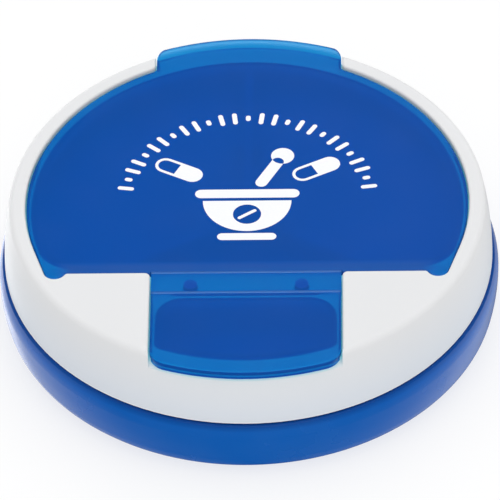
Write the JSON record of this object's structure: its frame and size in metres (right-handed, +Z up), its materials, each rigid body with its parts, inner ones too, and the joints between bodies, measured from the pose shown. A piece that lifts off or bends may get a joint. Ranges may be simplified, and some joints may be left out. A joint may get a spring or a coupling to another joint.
{
  "type": "pill crusher",
  "caption": "Round pill crusher: a twist-down ribbed ram in a threaded cup, under a cap with a divided pill store and two flip lids on living hinges.",
  "frame": {"origin": "centre of the underside of the base pad, on the table that the crusher stands on", "axes": "+Z up along the screw's axis, front (the small flap) towards -Y, +X to the right seen from the front"},
  "size_m": [0.0816, 0.0816, 0.0232],
  "materials": {
    "blue_plastic": "satin, injection moulded",
    "white_plastic": "satin, injection moulded",
    "clear_blue_plastic": "translucent, polished",
    "natural_plastic": "satin",
    "stainless": "brushed",
    "pad_rubber": "matte",
    "seal_rubber": "matte"
  },
  "bodies": {
    "base": {"base_shell": "blue_plastic", "base_pad": "pad_rubber", "crush_cup": "natural_plastic", "anvil_plate": "stainless", "cup_screws": "stainless"},
    "seal": {"seal_ring": "seal_rubber"},
    "cap": {"crusher_ram": "natural_plastic", "ram_plate": "stainless", "ram_screws": "stainless", "storage_tray": "blue_plastic", "upper_shell": "white_plastic", "hinge_bar": "clear_blue_plastic", "lid_hinge_web": "clear_blue_plastic", "flap_hinge_web": "clear_blue_plastic"},
    "storage_lid": {"storage_lid": "clear_blue_plastic"},
    "front_flap": {"front_flap": "clear_blue_plastic"}
  },
  "joints": [
    {"name": "cap_lift", "type": "slide", "parent": "base", "child": "seal", "axis": [0, 0, 1], "range_m": [0, 0.01205]},
    {"name": "cap_twist", "type": "hinge", "parent": "seal", "child": "cap", "pos_m": [0, 0, 0.012], "axis": [0, 0, 1], "range_deg": [0, 720]},
    {"name": "lid_hinge", "type": "hinge", "parent": "cap", "child": "storage_lid", "pos_m": [0, -0.0163, 0.02255], "axis": [1, 0, 0], "range_deg": [0, 105], "deforming": ["lid_hinge_web"]},
    {"name": "flap_hinge", "type": "hinge", "parent": "cap", "child": "front_flap", "pos_m": [0, -0.02095, 0.02255], "axis": [-1, 0, 0], "range_deg": [0, 75], "deforming": ["flap_hinge_web"]}
  ],
  "couplings": [
    {"joint": "cap_lift", "follows": "cap_twist", "m_per_rad": 0.00095493}
  ]
}
